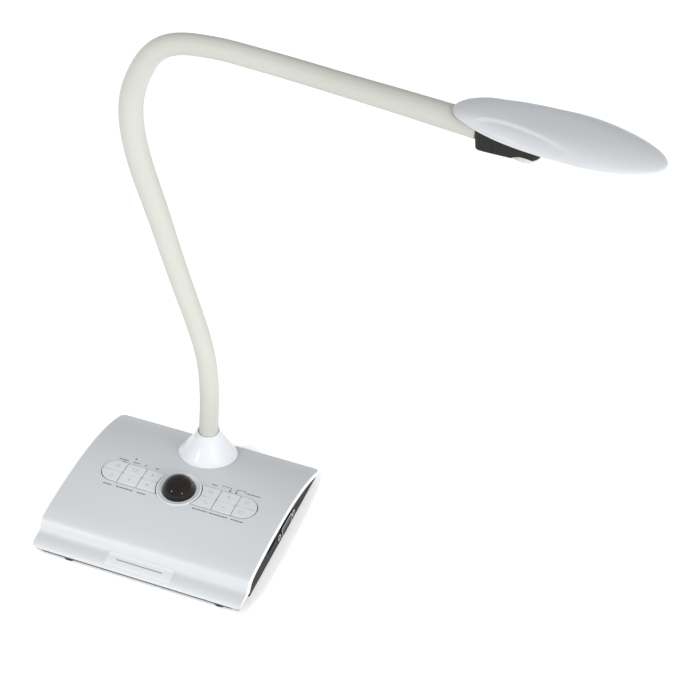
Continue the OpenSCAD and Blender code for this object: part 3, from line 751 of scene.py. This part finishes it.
for (xa, ya), (xb, yb) in LINES:
    d = np.array([xb - xa, yb - ya])
    d = d / np.linalg.norm(d)
    q = np.array([-d[1], d[0]]) * 0.22
    a, b = np.array([xa, ya]) - d * 0.2, np.array([xb, yb]) + d * 0.2
    marks.append(prism([tuple(a - q), tuple(b - q), tuple(b + q), tuple(a + q)], 0.05, -0.25, ny=3))
v, f = join(marks, "label_marks")
build("label_marks", v, f, "ink", "base", angle=30)


# ------------------------------------------------------------------ ring, dome, collar
def round_profile(pts, r, n=5):
    """Rounds the corners of a closed (r, z) loop; r may be one number or one per corner."""
    out = []
    m = len(pts)
    for i in range(m):
        p0, p1, p2 = (np.array(pts[(i + k) % m], float) for k in (-1, 0, 1))
        rad = r[i] if isinstance(r, (list, tuple)) else r
        a, b = p0 - p1, p2 - p1
        la, lb = np.linalg.norm(a), np.linalg.norm(b)
        if rad <= 0:
            out.append(tuple(p1))
            continue
        a, b = a / la, b / lb
        ang = math.acos(max(-1, min(1, float(a @ b))))
        t = min(rad / math.tan(ang / 2), la * 0.48, lb * 0.48)
        s0, s1 = p1 + a * t, p1 + b * t
        for k in range(n + 1):
            u = k / n
            out.append(tuple((1 - u) ** 2 * s0 + 2 * u * (1 - u) * p1 + u * u * s1))
    return out


ring_prof = round_profile([(DOME_R - 1.4, 18.6), (RING_R, 18.6), (RING_R, 22.95), (RING_R - 1.3, 23.25), (RING_R - 2.2, 22.75), (DOME_R + 0.9, 22.6),
                           (DOME_R + 0.1, 22.1), (DOME_R + 0.1, 20.0), (DOME_R - 1.4, 20.0)], [0, 0.2, 0.4, 0.5, 0.5, 0.4, 0.3, 0, 0], 5)
v, f = lathe(ring_prof, (0, PAD_Y, 0), 120)
build("dome_ring_round", v, f, "ring", "base", ("dome_ring",), angle=50)

RR = (DOME_R ** 2 + DOME_H ** 2) / (2 * DOME_H)
cap = []
a_end = math.asin(DOME_R / RR)
for k in range(25):
    a = a_end * (1 - k / 24)
    cap.append((max(RR * math.sin(a), 0.0), 22.2 + DOME_H - RR + RR * math.cos(a)))
outer_line = [(DOME_R, 20.02), (DOME_R, 21.9)] + [(DOME_R - 0.02, 22.1)] + cap[1:-1]
inner_r = DOME_R - 2.5


def closed_lathe(profile, centre, n=96):
    """Lathe of an open profile that starts and ends on the axis; the ends are single points."""
    m = len(profile)
    verts, faces = [], []
    tip0, tip1 = 0, 1
    verts = [(centre[0], centre[1], centre[2] + profile[0][1]), (centre[0], centre[1], centre[2] + profile[-1][1])]
    mid = profile[1:-1]
    k = len(mid)
    for i in range(n):
        t = 2 * math.pi * i / n
        for r, z in mid:
            verts.append((centre[0] + r * math.cos(t), centre[1] + r * math.sin(t), centre[2] + z))
    for i in range(n):
        a, b = 2 + i * k, 2 + ((i + 1) % n) * k
        faces.append((0, a, b))
        faces.append((1, b + k - 1, a + k - 1))
        for j in range(k - 1):
            faces.append((a + j, a + j + 1, b + j + 1, b + j))
    return verts, faces


dome_prof = [(0, 22.0), (inner_r, 22.0), (inner_r, 20.02)] + outer_line + [(0, 22.2 + DOME_H)]
v, f = closed_lathe(dome_prof, (0, PAD_Y, 0), 128)
build("ir_dome_round", v, f, "dome", "base", ("ir_dome",), angle=40)

COL_R, COL_TOP, NECK_R, ARM_Y = 21.5, 38.5, 7.0, 51.5
flare = catmull([(1, 0.9), (0.955, 2.4), (0.87, 5), (0.75, 9), (0.63, 13), (0.52, 17), (0.43, 21), (0.385, COL_TOP - 14.6)], 6)


def collar():
    n = 128
    nf = len(flare)
    rs = [(COL_R - 0.15, 0.05, 1.0), (COL_R, 0.45, 1.0)]
    rs += [(COL_R * r, h, (1 - k / (nf - 1)) ** 1.4) for k, (r, h) in enumerate(flare)]
    rs += [(COL_R * 0.385 - 0.3, COL_TOP - 14.6 + 0.22, 0), (COL_R * 0.385 - 0.62, COL_TOP - 14.6 + 0.2, 0), (NECK_R + 0.2, COL_TOP - 14.6 - 0.2, 0),
           (NECK_R + 0.25, 8, 0.3), (NECK_R + 0.25, 0.15, 1), (11, 0.15, 1), (14, 0.15, 1), (17.5, 0.15, 1)]
    rings = []
    for r, h, w in rs:
        ring = []
        for i in range(n):
            t = 2 * math.pi * i / n
            x, y = r * math.cos(t), ARM_Y + r * math.sin(t)
            ring.append((1.2 + 0.053 * h + x, y, 14.6 + h + (surf(min(y, 72.5)) - 14.6) * w))
        rings.append(ring)
    m = len(rings)
    verts = [p for r in rings for p in r]
    faces = []
    for k in range(m):
        l = (k + 1) % m
        for i in range(n):
            j = (i + 1) % n
            faces.append((k * n + i, k * n + j, l * n + j, l * n + i))
    return verts, faces


v, f = collar()
build("neck_collar_round", v, f, "collar", "base", ("neck_collar",), angle=45)


# ------------------------------------------------------------------ plate on the front lip
def lip_band(name, x0, x1, s0, s1, lift, mat, r=0.8, thick=0.5):
    """A thin rounded plate on the front lip between two fractions of the lip's length."""
    seg = catmull(LIP, 12)
    seg = seg[(seg[:, 0] > -68.3) & (seg[:, 0] < -57.3) & (seg[:, 1] > 8) & (seg[:, 1] < 14)]
    L = np.r_[0, np.cumsum(np.linalg.norm(np.diff(seg, axis=0), axis=1))]
    d = np.gradient(seg, axis=0)
    d /= np.linalg.norm(d, axis=1)[:, None]
    nrm = np.c_[-d[:, 1], d[:, 0]]
    a, b = s0 * L[-1], s1 * L[-1]
    n = 18
    rows = []
    for i in range(n + 1):
        s = a + (b - a) * i / n
        y, z = np.interp(s, L, seg[:, 0]), np.interp(s, L, seg[:, 1])
        ny_, nz_ = np.interp(s, L, nrm[:, 0]), np.interp(s, L, nrm[:, 1])
        e = min(s - a, b - s)
        cut = r - math.sqrt(max(0, r * r - (r - e) ** 2)) if e < r else 0
        rows.append((y, z, ny_, nz_, cut))
    up, dn = [], []
    for y, z, ny_, nz_, cut in rows:
        for x in (x0 + cut, x1 - cut):
            up.append((x, y + ny_ * lift, z + nz_ * lift))
            dn.append((x, y + ny_ * (lift - thick), z + nz_ * (lift - thick)))
    verts = up + dn
    k = len(up)
    faces = []
    for i in range(n):
        p, q, r_, s_ = 2 * i, 2 * i + 1, 2 * i + 3, 2 * i + 2
        faces.append((p, q, r_, s_))
        faces.append((k + p, k + s_, k + r_, k + q))
        faces.append((p, s_, k + s_, k + p))
        faces.append((q, k + q, k + r_, r_))
    faces.append((0, k, k + 1, 1))
    faces.append((2 * n, 2 * n + 1, k + 2 * n + 1, k + 2 * n))
    return verts, faces


v, f = lip_band("name_plate", -24.5, 25.5, 0.02, 0.98, 0.4, "plate", r=1.6)
plate = build("name_plate", v, f, "plate", "base", ("name_badge",), angle=30)
bevel(plate, 0.15, 2, 40)
v, f = lip_band("plate_line", -17.0, 18.0, 0.46, 0.54, 0.45, "ink", r=0.4, thick=0.3)
build("plate_line", v, f, "plate_grey", "base", angle=30)

# ------------------------------------------------------------------ neck sleeve
J = [(1.2, 14), (3, 48), (4.5, 110), (-14, 190), (-33, 270), (-34.5, 318), (-26, 343), (-8, 361), (20, 369.5), (75, 368), (127, 363.5),
     (178, 358.5)]
PATH = [(1.6, 17), (2.2, 28), (2.9, 40.7), (4.3, 59.3), (5.2, 74.5), (5.5, 94.2), (4.0, 115.6), (-0.7, 139.3), (-6.1, 160.3), (-12.1, 183.4), (-17.8, 206.9),
        (-23.3, 230.7), (-28.9, 252.3), (-33.6, 272.8), (-36.2, 292.7), (-36.1, 309.8), (-33.5, 324.1), (-27.3, 339.9), (-19.4, 353.6),
        (-9.9, 363.1), (1.8, 368.1), (15.2, 369.9), (31.7, 370.6), (48, 369.6), (67.4, 368.3), (86.7, 366.7), (105.8, 365), (124.7, 363.4),
        (143.6, 361.8), (162.3, 360.0), (177.8, 358.5), (185.0, 357.87), (192.4, 357.24)]
RAD = [(17, 7.0), (40.7, 7.0), (115, 6.9), (160, 7.1), (206, 7.3), (230, 7.65), (251, 7.85), (272, 7.95), (324, 7.95)]
path = catmull(PATH, 24)
slen = np.r_[0, np.cumsum(np.linalg.norm(np.diff(path, axis=0), axis=1))]
total = slen[-1]


def path_at(s):
    return np.array([np.interp(s, slen, path[:, 0]), np.interp(s, slen, path[:, 1])])


# smooth the way once more, so that no reading shows as a flat
ss = np.arange(0, total, 1.0)
pp = np.array([path_at(s) for s in ss] + [path[-1]])
ker = np.hanning(31)
ker /= ker.sum()
ext = np.vstack([2 * pp[0] - pp[15:0:-1], pp, 2 * pp[-1] - pp[-2:-17:-1]])
pp = np.c_[np.convolve(ext[:, 0], ker, "valid"), np.convolve(ext[:, 1], ker, "valid")]
s_pp = np.r_[0, np.cumsum(np.linalg.norm(np.diff(pp, axis=0), axis=1))]
total = s_pp[-1]


def along(z=None, x=None, lo=0.0):
    """Arc length of the first point of the way past lo that reaches this height or this x."""
    idx = np.where(s_pp >= lo)[0]
    if z is not None:
        k = idx[np.argmin(np.abs(pp[idx, 1] - z) + (pp[idx, 0] > 0) * (0 if z < 150 else 50))]
    else:
        k = idx[np.argmin(np.abs(pp[idx, 0] - x))]
    return s_pp[k]


s_top = along(x=20, lo=along(z=324))
RS = [(0, 7.0), (along(z=41), 7.0), (along(z=115), 6.9), (along(z=160), 7.1), (along(z=206), 7.3), (along(z=230), 7.65), (along(z=251), 7.85),
      (along(z=275), 7.95), (along(z=322), 7.9), (along(z=339), 7.6), (along(z=352), 7.2), (along(z=362), 6.9), (s_top, 6.7),
      (along(x=69, lo=s_top), 6.95), (along(x=107, lo=s_top), 7.05), (along(x=126, lo=s_top), 7.25), (along(x=145, lo=s_top), 7.5),
      (along(x=178, lo=s_top), 7.95), (total, 8.15)]
rs_s = np.array([a for a, _ in RS])
rs_r = np.array([b for _, b in RS])


def radius(s):
    q = np.linspace(s - 18, s + 18, 9)
    return float(np.mean(np.interp(q, rs_s, rs_r)))


def tube(sa, sb, n=56, step=1.2):
    k = max(3, int(math.ceil((sb - sa) / step)))
    rings = []
    for i in range(k + 1):
        s = sa + (sb - sa) * i / k
        p = np.array([np.interp(s, s_pp, pp[:, 0]), np.interp(s, s_pp, pp[:, 1])])
        h = 1.5
        p0 = np.array([np.interp(s - h, s_pp, pp[:, 0]), np.interp(s - h, s_pp, pp[:, 1])])
        p1 = np.array([np.interp(s + h, s_pp, pp[:, 0]), np.interp(s + h, s_pp, pp[:, 1])])
        t = (p1 - p0) / np.linalg.norm(p1 - p0)
        nx = np.array([t[1], -t[0]])
        r = radius(s)
        rings.append([(p[0] + r * math.cos(a) * nx[0], ARM_Y + r * math.sin(a), p[1] + r * math.cos(a) * nx[1])
                      for a in (2 * math.pi * j / n for j in range(n))])
    return rings_mesh(rings, True, True)


def nearest(q, lo=0.0, hi=1e9):
    k = np.where((s_pp >= lo) & (s_pp <= hi))[0]
    return s_pp[k[np.argmin(np.linalg.norm(pp[k] - np.array(q), axis=1))]]


mids = [nearest(((J[k][0] + J[k + 1][0]) / 2, (J[k][1] + J[k + 1][1]) / 2)) for k in range(1, 11)]


def at(s):
    return tuple(M([np.interp(s, s_pp, pp[:, 0]), ARM_Y, np.interp(s, s_pp, pp[:, 1])]))


spans = []
for k in range(1, 12):
    sa = 0.0 if k == 1 else mids[k - 2]
    sb = total if k == 11 else mids[k - 1]
    spans.append((sa, sb))
for k, (sa, sb) in enumerate(spans, 1):
    v, f = tube(sa, sb)
    ob = build("neck_skin_%d" % k, v, f, "sleeve", None, angle=60)
    a = sa if k > 1 else nearest((2.8, 39.5))
    at(a)
    at(sb)
    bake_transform(ob)
    if k == 1:
        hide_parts("neck_sleeve_0", "neck_core_1")
    elif k < 11:
        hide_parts("neck_sleeve_%d" % (k - 1), "neck_core_%d" % k)
    else:
        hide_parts("neck_sleeve_10")

# ------------------------------------------------------------------ head
HT = math.radians(3.5)
HU = np.array([math.cos(HT), 0, -math.sin(HT)])
HW_ = np.array([math.sin(HT), 0, math.cos(HT)])
HO = np.array([J[11][0], ARM_Y, J[11][1]])


def head(u, v, w):
    return HO + u * HU + v * np.array([0, 1, 0]) + w * HW_


HA, HB, HH, HC, RIM = 64.0, 24.2, 8.9, 62.0, 8.0
CREASE = np.array([(6, 14.0), (10, 12.9), (14.3, 12.0), (21.6, 11.0), (31.5, 11.0), (42.9, 12.4), (55.5, 14.7), (66.5, 17.6), (74.5, 20.3), (84, 24.5)])


def smooth01(x):
    x = min(1, max(0, x))
    return x * x * (3 - 2 * x)


def step_down(u, v):
    """How far the wing outside the crease is sunk, from 0 to 1, at a point of the plan."""
    if u < 8 or u > 84:
        return 0.0
    c = float(np.interp(u, CREASE[:, 0], CREASE[:, 1]))
    s = smooth01((abs(v) - c) / 2.0 + 0.5)
    return s * smooth01((u - 8) / 12) * smooth01((82 - u) / 20)


SCOOP = np.array([(0, 0), (6, 0.8), (12, 1.9), (18, 2.4), (28, 2.4), (40, 2.3), (57, 1.7), (67, 1.3), (73, 0.9), (79, 0.1), (84, 0)])


def scoop(u, v):
    """Pull the outer part of the plan in beside the camera housing."""
    q = (u - HC) / HA
    full = HB * math.sqrt(max(1e-6, 1 - q * q))
    d = float(np.interp(u, SCOOP[:, 0], SCOOP[:, 1]))
    k = smooth01((abs(v) / full - 0.45) / 0.55)
    return v * (1 - d / full * k) if full > 4 else v


def dome(a, t, da=0.0, dh=0.0, wing=True):
    u = HC + (HA - da) * t * math.cos(a)
    v = scoop(u, (HB - da) * t * math.sin(a))
    w = (HH - dh) * max(0.0, 1 - t ** (2.9 - 0.9 * math.cos(a))) ** 0.62
    if wing:
        w *= 1 - 0.17 * step_down(u, v)
    return u, v, RIM + w


def head_shell():
    na, nt = 240, 84
    ts = [math.sin(math.pi / 2 * k / nt) for k in range(1, nt + 1)]
    angs = [2 * math.pi * i / na for i in range(na)]
    verts = [head(*dome(0, 0))]
    rows = []
    for t in ts:
        rows.append([dome(a, t) for a in angs])
    for da, w in ((0.15, RIM - 0.28), (0.5, RIM - 0.42), (1.1, RIM - 0.42), (1.6, RIM - 0.25)):
        rows.append([(HC + (HA - da) * math.cos(a), scoop(HC + (HA - da) * math.cos(a), (HB - da) * math.sin(a)), w) for a in angs])
    for k in range(18, 0, -1):
        t = math.sin(math.pi / 2 * k / 18)
        rows.append([dome(a, t, 1.8, 1.8) for a in angs])
    for r in rows:
        verts += [head(*p) for p in r]
    verts.append(head(HC, 0, RIM + HH - 1.8))
    faces = []
    m = len(rows)
    for i in range(na):
        j = (i + 1) % na
        faces.append((0, 1 + i, 1 + j))
        for k in range(m - 1):
            a, b = 1 + k * na, 1 + (k + 1) * na
            faces.append((a + i, b + i, b + j, a + j))
        l = 1 + (m - 1) * na
        faces.append((len(verts) - 1, l + j, l + i))
    return verts, faces


v, f = head_shell()
build("head_shell", v, f, "head", "head", ("head_top_shell",), angle=60)

# camera housing: a soft-edged block with a round nose, a seam behind the lens and arched finger windows
HOUSE_TOP, HOUSE_BOT, BACK, NOSE, CW = RIM - 1.22, -11.0, 14.2, 44.5, 9.5


def housing():
    n_side = 30

    def outline(w):
        """Plan of the housing at a distance w inside its wall, as (u, v), anticlockwise from the rear right."""
        pts = []
        r = max(CW - w, 0.3)
        rr = 2.2
        pts += arc(BACK + w + rr, -r + rr, rr, 180, 270, 5)
        for i in range(1, n_side):
            pts.append((BACK + w + rr + (NOSE - BACK - w - rr) * i / n_side, -r))
        pts += arc(NOSE, 0, r, -90, 90, 24)
        for i in range(n_side - 1, 0, -1):
            pts.append((BACK + w + rr + (NOSE - BACK - w - rr) * i / n_side, r))
        pts += arc(BACK + w + rr, r - rr, rr, 90, 180, 5)
        return pts

    levels = []
    e = 1.3
    for k in range(6):
        a = math.pi / 2 * k / 5
        levels.append((e * (1 - math.sin(a)), HOUSE_BOT + e * (1 - math.cos(a))))
    for k in range(1, 15):
        levels.append((0.0, HOUSE_BOT + e + (HOUSE_TOP - HOUSE_BOT - e) * k / 14))
    rings = []
    for ins, w in levels:
        row = []
        for u, v in outline(ins):
            # rear face leans in towards its foot
            lean = 1.6 * max(0.0, (2 - w) / 13) if u < BACK + 4 else 1.6 * max(0.0, (2 - w) / 13) * max(0.0, 1 - (u - BACK - 4) / 8)
            w2 = w + 1.3 * smooth01((u - 18) / 34) * (HOUSE_TOP - w) / (HOUSE_TOP - HOUSE_BOT)
            row.append(head(u + lean, v, w2))
        rings.append(row)
    v_, f_ = rings_mesh(rings, True, True)
    ob = build("camera_shell", v_, f_, "charcoal", angle=35)
    tools = []

    def tool(name, pts_a, pts_b):
        n = len(pts_a)
        f = [(j, (j + 1) % n, n + (j + 1) % n, n + j) for j in range(n)] + [tuple(range(n))[::-1], tuple(range(n, 2 * n))]
        tools.append(build(name, [head(*p) for p in pts_a + pts_b], f, None))

    tool("t_well", [(NOSE + 8.9 * math.cos(t), 8.9 * math.sin(t), -13) for t in np.linspace(0, 2 * math.pi, 65)[:-1]],
         [(NOSE + 8.9 * math.cos(t), 8.9 * math.sin(t), -4.7) for t in np.linspace(0, 2 * math.pi, 65)[:-1]])
    tool("t_window", [(NOSE + 9 * math.cos(t), -20, -16 + 9 * math.sin(t)) for t in np.linspace(0, 2 * math.pi, 65)[:-1]],
         [(NOSE + 9 * math.cos(t), 20, -16 + 9 * math.sin(t)) for t in np.linspace(0, 2 * math.pi, 65)[:-1]])
    # the seam all round, a shallow groove
    for sgn in (-1, 1):
        y0, y1 = sgn * (CW - 0.35), sgn * (CW + 1)
        tool("t_seam_%d" % sgn, [(26.0, y0, -12), (26.35, y0, -12), (26.35, y1, -12), (26.0, y1, -12)], [(26.0, y0, 8), (26.35, y0, 8), (26.35, y1, 8), (26.0, y1, 8)])
    tool("t_seam_b", [(26.0, -10, -12), (26.35, -10, -12), (26.35, 10, -12), (26.0, 10, -12)],
         [(26.0, -10, HOUSE_BOT + 0.35), (26.35, -10, HOUSE_BOT + 0.35), (26.35, 10, HOUSE_BOT + 0.35), (26.0, 10, HOUSE_BOT + 0.35)])
    for t in tools:
        b = ob.modifiers.new(t.name, "BOOLEAN")
        b.object = t
        b.operation = "DIFFERENCE"
        b.solver = "EXACT"
    apply_all(ob)
    for t in tools:
        bpy.data.objects.remove(t)
    ob.data.shade_smooth()
    ob.data.set_sharp_from_angle(angle=math.radians(35))
    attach(ob, "head")
    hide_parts("camera_housing")
    return ob


house = housing()

# ------------------------------------------------------------------ the rest of the stage
floor_me = bpy.data.meshes.new("floor")
floor_me.from_pydata([(-6, -6, 0), (6, -6, 0), (6, 6, 0), (-6, 6, 0)], [], [(0, 1, 2, 3)])
floor = bpy.data.objects.new("floor", floor_me)
scene.collection.objects.link(floor)
fm, fnt, fb = node_tree("floor_paper")
nf_ = noise(fnt, coords(fnt), 6, 2.0)
fnt.links.new(ramp(fnt, nf_, [(0.3, (0.925, 0.925, 0.925)), (0.7, (0.935, 0.935, 0.935))]), fb.inputs["Base Color"])
fb.inputs["Roughness"].default_value = 0.9
fb.inputs["Emission Color"].default_value = (1, 1, 1, 1)
fb.inputs["Emission Strength"].default_value = 0.30
fb.inputs["Specular IOR Level"].default_value = 0.1
floor_me.materials.append(fm)

world = bpy.data.worlds.new("studio")
scene.world = world
world.use_nodes = True
bg = world.node_tree.nodes["Background"]
bg.inputs["Color"].default_value = (0.975, 0.985, 1.0, 1)
bg.inputs["Strength"].default_value = 0.50
# beyond the edge of the floor the view is plain white
wt = world.node_tree
beyond = wt.nodes.new("ShaderNodeBackground")
beyond.inputs["Color"].default_value = (1, 1, 1, 1)
beyond.inputs["Strength"].default_value = 1.05
path = wt.nodes.new("ShaderNodeLightPath")
mixw = wt.nodes.new("ShaderNodeMixShader")
wt.links.new(path.outputs["Is Camera Ray"], mixw.inputs[0])
wt.links.new(bg.outputs[0], mixw.inputs[1])
wt.links.new(beyond.outputs[0], mixw.inputs[2])
wt.links.new(mixw.outputs[0], wt.nodes["World Output"].inputs["Surface"])


def sun(name, toward, strength, spread_deg, mirror=True):
    """A far, soft light that comes from the direction given."""
    d = bpy.data.lights.new(name, "SUN")
    d.energy = strength
    d.angle = math.radians(spread_deg)
    o = bpy.data.objects.new(name, d)
    scene.collection.objects.link(o)
    o.rotation_euler = (-Vector(toward)).to_track_quat("-Z", "Y").to_euler()
    o.visible_glossy = mirror
    return o


sun("side_right", (0.86, -0.5, 0.22), 2.1, 40, False)
sun("side_left", (-0.9, -0.38, 0.22), 0.95, 40, False)
sun("front_low", (0.62, -0.72, 0.48), 0.62, 45, False)
pool = bpy.data.lights.new("base_pool", "SPOT")
pool.energy = 24
pool.spot_size = math.radians(25)
pool.spot_blend = 0.85
pool.shadow_soft_size = 0.16
pool_ob = bpy.data.objects.new("base_pool", pool)
scene.collection.objects.link(pool_ob)
p_at, p_to = Vector([float(c) for c in M([-260, -420, 1080])]), Vector([float(c) for c in M([0, -10, 20])])
pool_ob.location = p_at
pool_ob.rotation_euler = (p_to - p_at).to_track_quat("-Z", "Y").to_euler()
pool_ob.visible_glossy = False
sun("spark_right", (0.62, -0.55, 0.30), 0.20, 9)
sun("spark_left", (-0.45, -0.75, 0.42), 0.20, 9)
